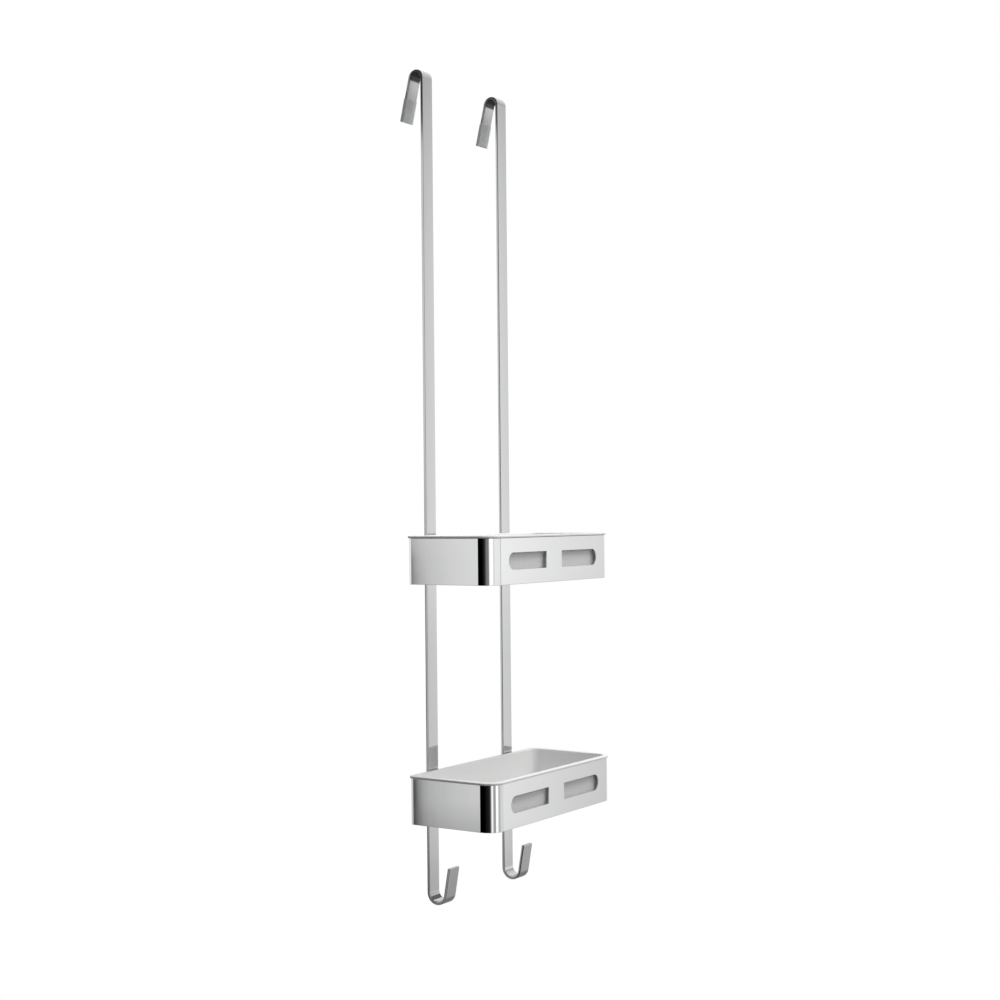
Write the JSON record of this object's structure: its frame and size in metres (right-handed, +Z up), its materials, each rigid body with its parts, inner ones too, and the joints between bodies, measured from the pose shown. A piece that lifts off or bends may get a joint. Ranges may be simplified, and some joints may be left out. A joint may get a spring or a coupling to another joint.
{
  "type": "shower caddy",
  "caption": "Shower caddy that hangs over a glass screen by hooked rails, with slotted bands that hold lift-out trays and coat hooks at the foot.",
  "frame": {"origin": "midway between the two rails, on the top edge of the glass, under the middle of the top hooks", "axes": "+X to the right seen from the front, +Y backwards through the glass, +Z up; the baskets are on the -Y side"},
  "size_m": [0.253, 0.1473, 0.9265],
  "materials": {
    "chrome": "bright polished chrome plate",
    "white_plastic": "white moulded plastic, satin gloss",
    "clear_sleeve": "translucent soft plastic",
    "screw_steel": "stainless steel",
    "clear_pad": "clear soft pad"
  },
  "bodies": {
    "frame": {"left_rail": "chrome", "left_hook_sleeve": "clear_sleeve", "right_rail": "chrome", "right_hook_sleeve": "clear_sleeve", "upper_basket_band": "chrome", "upper_cross_bar": "chrome", "upper_bosses": "chrome", "upper_bar_screws": "screw_steel", "upper_rail_screws": "screw_steel", "upper_glass_pads": "clear_pad", "lower_basket_band": "chrome", "lower_cross_bar": "chrome", "lower_bosses": "chrome", "lower_bar_screws": "screw_steel", "lower_rail_screws": "screw_steel", "lower_glass_pads": "clear_pad"},
    "upper_insert": {"upper_tray": "white_plastic"},
    "lower_insert": {"lower_tray": "white_plastic"}
  },
  "joints": [
    {"name": "upper_tray_lift", "type": "slide", "parent": "frame", "child": "upper_insert", "axis": [0, 0, 1], "range_m": [0, 0.06]},
    {"name": "lower_tray_lift", "type": "slide", "parent": "frame", "child": "lower_insert", "axis": [0, 0, 1], "range_m": [0, 0.06]}
  ]
}
